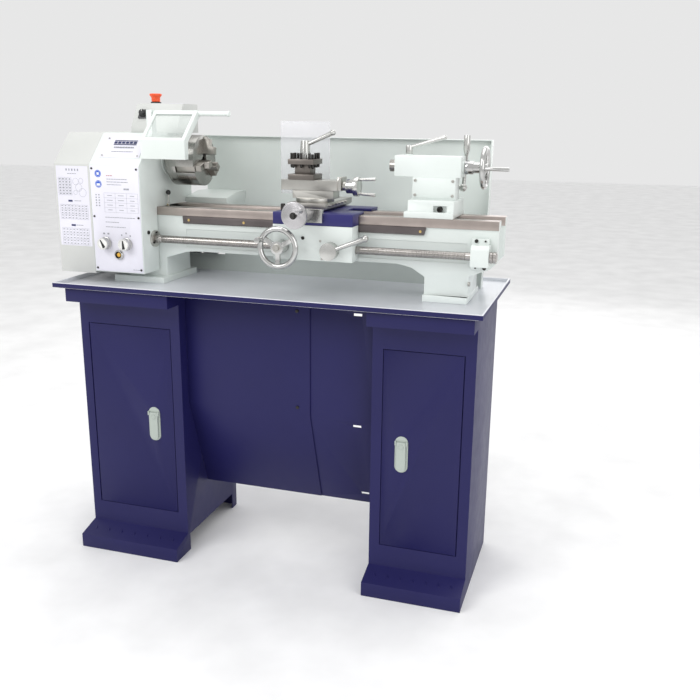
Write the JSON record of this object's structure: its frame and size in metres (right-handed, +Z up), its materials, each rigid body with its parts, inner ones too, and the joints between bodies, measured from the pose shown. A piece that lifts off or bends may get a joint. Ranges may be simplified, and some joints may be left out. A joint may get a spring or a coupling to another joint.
{
  "type": "metal lathe",
  "caption": "Small bench metal lathe on a two-cabinet stand, with chuck, carriage, tool post, tailstock, chip tray and splash guard.",
  "frame": {"origin": "on the floor, below the middle of the whole machine's bounding box", "axes": "+X from the headstock to the tailstock, +Y from front to back, +Z up"},
  "size_m": [1.086, 0.456, 1.154],
  "materials": {
    "blue_sheet": "powder coat, satin, indigo blue",
    "machine_white": "sprayed machine enamel, white with a green-grey tint",
    "light_grey_sheet": "fine textured light grey paint",
    "printed_plate": "printed sheet plate, satin",
    "bright_steel": "turned and ground steel",
    "polished_chrome": "polished and plated",
    "ground_iron": "ground ways",
    "dark_steel": "blackened steel",
    "zinc_latch": "grey-green zinc",
    "black_rubber": "toothed belt",
    "black_plastic": "moulded",
    "red_plastic": "orange-red moulded",
    "clear_sheet": "clear polycarbonate",
    "oil_glass": "oil sight glass with amber oil",
    "motor_paint": "grey motor enamel"
  },
  "bodies": {
    "stand_and_bed": {"left_cabinet": "blue_sheet", "right_cabinet": "blue_sheet", "left_knee_panel": "blue_sheet", "right_knee_panel": "blue_sheet", "chip_tray": "blue_sheet", "bed": "machine_white", "feed_rack": "dark_steel", "headstock": "machine_white", "front_plates": "printed_plate", "feed_gearbox": "machine_white", "sight_glass": "oil_glass", "switch_box": "light_grey_sheet", "spindle_bearings": "bright_steel", "motor": "motor_paint", "drive_belt": "black_rubber", "gear_banjo": "ground_iron", "leadscrew_bracket": "machine_white", "splash_guard": "machine_white", "machine_screws": "dark_steel"},
    "left_door": {"left_door": "blue_sheet"},
    "left_latch": {"left_latch": "zinc_latch"},
    "right_door": {"right_door": "blue_sheet"},
    "right_latch": {"right_latch": "zinc_latch"},
    "emergency_button": {"emergency_button": "red_plastic"},
    "speed_knob": {"speed_knob": "black_plastic"},
    "range_knob": {"range_knob": "polished_chrome"},
    "feed_knob": {"feed_knob": "polished_chrome"},
    "end_cover": {"end_cover": "light_grey_sheet"},
    "spindle": {"spindle": "bright_steel", "spindle_pulley": "dark_steel", "chuck_body": "bright_steel"},
    "motor_pulley": {"motor_pulley": "dark_steel"},
    "idler_gear": {"idler_gear": "bright_steel"},
    "leadscrew": {"leadscrew": "bright_steel", "leadscrew_gear": "bright_steel"},
    "chuck_scroll": {"chuck_scroll": "dark_steel"},
    "chuck_jaw_1": {"chuck_jaw_1": "bright_steel"},
    "chuck_jaw_2": {"chuck_jaw_2": "bright_steel"},
    "chuck_jaw_3": {"chuck_jaw_3": "bright_steel"},
    "chuck_guard": {"chuck_guard": "machine_white", "guard_window": "clear_sheet"},
    "carriage": {"saddle": "blue_sheet", "apron": "machine_white", "cross_feed_bearing": "bright_steel"},
    "carriage_handwheel": {"carriage_handwheel": "polished_chrome"},
    "half_nut_lever": {"half_nut_lever": "bright_steel"},
    "cross_slide": {"cross_slide": "bright_steel", "tool_shield": "clear_sheet"},
    "cross_slide_handwheel": {"cross_slide_handwheel": "polished_chrome"},
    "compound_base": {"compound_base": "bright_steel"},
    "compound_slide": {"compound_slide": "bright_steel"},
    "compound_handwheel": {"compound_handwheel": "polished_chrome"},
    "tool_post": {"tool_post": "dark_steel"},
    "tool_post_lever": {"tool_post_lever": "polished_chrome"},
    "tailstock": {"tailstock_base": "machine_white", "tailstock_body": "machine_white"},
    "quill": {"quill": "bright_steel"},
    "quill_lock_lever": {"quill_lock_lever": "polished_chrome"},
    "tailstock_handwheel": {"tailstock_handwheel": "polished_chrome"},
    "tailstock_clamp_lever": {"tailstock_clamp_lever": "polished_chrome"}
  },
  "joints": [
    {"name": "left_door_hinge", "type": "hinge", "parent": "stand_and_bed", "child": "left_door", "pos_m": [-0.468, -0.16, 0.351], "axis": [0, 0, -1], "range_deg": [0, 110]},
    {"name": "left_latch_lift", "type": "hinge", "parent": "left_door", "child": "left_latch", "pos_m": [-0.2975, -0.168, 0.3735], "axis": [-1, 0, 0], "range_deg": [0, 35]},
    {"name": "right_door_hinge", "type": "hinge", "parent": "stand_and_bed", "child": "right_door", "pos_m": [0.481, -0.16, 0.351], "axis": [0, 0, 1], "range_deg": [0, 110]},
    {"name": "right_latch_lift", "type": "hinge", "parent": "right_door", "child": "right_latch", "pos_m": [0.3465, -0.168, 0.375], "axis": [-1, 0, 0], "range_deg": [0, 35]},
    {"name": "emergency_stop", "type": "slide", "parent": "stand_and_bed", "child": "emergency_button", "axis": [0, 0, -1], "range_m": [0, 0.004]},
    {"name": "speed_dial", "type": "hinge", "parent": "stand_and_bed", "child": "speed_knob", "pos_m": [-0.385, 0.0055, 1.101], "axis": [0, -0.8599, 0.5105], "range_deg": [-135, 135]},
    {"name": "range_selector", "type": "hinge", "parent": "stand_and_bed", "child": "range_knob", "pos_m": [-0.409, -0.163, 0.798], "axis": [0, -1, 0], "range_deg": [-45, 45]},
    {"name": "feed_selector", "type": "hinge", "parent": "stand_and_bed", "child": "feed_knob", "pos_m": [-0.3515, -0.163, 0.798], "axis": [0, -1, 0], "range_deg": [-45, 45]},
    {"name": "end_cover_hinge", "type": "hinge", "parent": "stand_and_bed", "child": "end_cover", "pos_m": [-0.444, 0.174, 0.89], "axis": [0, 0, -1], "range_deg": [0, 100]},
    {"name": "spindle_spin", "type": "hinge", "parent": "stand_and_bed", "child": "spindle", "pos_m": [-0.346, -0.014, 0.994], "axis": [1, 0, 0], "continuous": true},
    {"name": "motor_spin", "type": "hinge", "parent": "stand_and_bed", "child": "motor_pulley", "pos_m": [-0.495, 0.125, 0.8], "axis": [1, 0, 0], "continuous": true},
    {"name": "idler_spin", "type": "hinge", "parent": "stand_and_bed", "child": "idler_gear", "pos_m": [-0.487, -0.05485, 0.90817], "axis": [1, 0, 0], "continuous": true},
    {"name": "leadscrew_spin", "type": "hinge", "parent": "stand_and_bed", "child": "leadscrew", "pos_m": [0.005, -0.103, 0.807], "axis": [1, 0, 0], "continuous": true},
    {"name": "scroll_turn", "type": "hinge", "parent": "spindle", "child": "chuck_scroll", "pos_m": [-0.267, -0.014, 0.994], "axis": [1, 0, 0], "range_deg": [-540, 540]},
    {"name": "jaw_1_slide", "type": "slide", "parent": "spindle", "child": "chuck_jaw_1", "axis": [0, 0.1736, 0.9848], "range_m": [-0.00751, 0.00751]},
    {"name": "jaw_2_slide", "type": "slide", "parent": "spindle", "child": "chuck_jaw_2", "axis": [0, -0.9397, -0.342], "range_m": [-0.00751, 0.00751]},
    {"name": "jaw_3_slide", "type": "slide", "parent": "spindle", "child": "chuck_jaw_3", "axis": [0, 0.766, -0.6428], "range_m": [-0.00751, 0.00751]},
    {"name": "chuck_guard_hinge", "type": "hinge", "parent": "stand_and_bed", "child": "chuck_guard", "pos_m": [-0.249, -0.074, 1.105], "axis": [-1, 0, 0], "range_deg": [0, 95]},
    {"name": "carriage_travel", "type": "slide", "parent": "stand_and_bed", "child": "carriage", "axis": [1, 0, 0], "range_m": [-0.15, 0.02]},
    {"name": "carriage_wheel_turn", "type": "hinge", "parent": "carriage", "child": "carriage_handwheel", "pos_m": [0.046, -0.169, 0.812], "axis": [0, -1, 0], "range_deg": [-2701, 361]},
    {"name": "half_nut_engage", "type": "hinge", "parent": "carriage", "child": "half_nut_lever", "pos_m": [0.162, -0.151, 0.807], "axis": [0, 1, 0], "range_deg": [0, 30]},
    {"name": "cross_slide_travel", "type": "slide", "parent": "carriage", "child": "cross_slide", "axis": [0, 1, 0], "range_m": [-0.028, 0.035]},
    {"name": "cross_wheel_turn", "type": "hinge", "parent": "carriage", "child": "cross_slide_handwheel", "pos_m": [0.095, -0.188, 0.889], "axis": [0, -1, 0], "range_deg": [-4033, 5041]},
    {"name": "compound_swivel", "type": "hinge", "parent": "cross_slide", "child": "compound_base", "pos_m": [0.095, -0.053, 0.913], "axis": [0, 0, 1], "range_deg": [-30, 30]},
    {"name": "compound_travel", "type": "slide", "parent": "compound_base", "child": "compound_slide", "axis": [1, 0, 0], "range_m": [-0.02, 0.015]},
    {"name": "compound_wheel_turn", "type": "hinge", "parent": "compound_slide", "child": "compound_handwheel", "pos_m": [0.195, -0.053, 0.946], "axis": [1, 0, 0], "range_deg": [-3601, 2701]},
    {"name": "tool_post_index", "type": "hinge", "parent": "compound_slide", "child": "tool_post", "pos_m": [0.07, -0.053, 0.98], "axis": [0, 0, 1], "continuous": true},
    {"name": "tool_post_clamp", "type": "hinge", "parent": "compound_slide", "child": "tool_post_lever", "pos_m": [0.07, -0.053, 1.03], "axis": [0, 0, 1], "range_deg": [-70, 20]},
    {"name": "tailstock_travel", "type": "slide", "parent": "stand_and_bed", "child": "tailstock", "axis": [1, 0, 0], "range_m": [0, 0.09]},
    {"name": "quill_travel", "type": "slide", "parent": "tailstock", "child": "quill", "axis": [-1, 0, 0], "range_m": [0, 0.06]},
    {"name": "tailstock_wheel_turn", "type": "hinge", "parent": "tailstock", "child": "tailstock_handwheel", "pos_m": [0.484, -0.014, 0.994], "axis": [-1, 0, 0], "range_deg": [0, 8641]},
    {"name": "quill_lock", "type": "hinge", "parent": "tailstock", "child": "quill_lock_lever", "pos_m": [0.309, -0.014, 1.03], "axis": [0, 0, 1], "range_deg": [-40, 40]},
    {"name": "tailstock_clamp", "type": "hinge", "parent": "tailstock", "child": "tailstock_clamp_lever", "pos_m": [0.435, 0.027, 0.946], "axis": [-1, 0, 0], "range_deg": [0, 50]}
  ],
  "couplings": [
    {"joint": "motor_spin", "follows": "spindle_spin", "ratio": 2.4545},
    {"joint": "idler_spin", "follows": "spindle_spin", "ratio": -0.41667},
    {"joint": "leadscrew_spin", "follows": "spindle_spin", "ratio": 0.625},
    {"joint": "jaw_1_slide", "follows": "scroll_turn", "m_per_rad": 0.00079577},
    {"joint": "jaw_2_slide", "follows": "scroll_turn", "m_per_rad": 0.00079577},
    {"joint": "jaw_3_slide", "follows": "scroll_turn", "m_per_rad": 0.00079577},
    {"joint": "carriage_wheel_turn", "follows": "carriage_travel", "rad_per_m": 314.16},
    {"joint": "cross_wheel_turn", "follows": "cross_slide_travel", "rad_per_m": 2513.3},
    {"joint": "compound_wheel_turn", "follows": "compound_travel", "rad_per_m": 3141.6},
    {"joint": "tailstock_wheel_turn", "follows": "quill_travel", "rad_per_m": 2513.3}
  ]
}
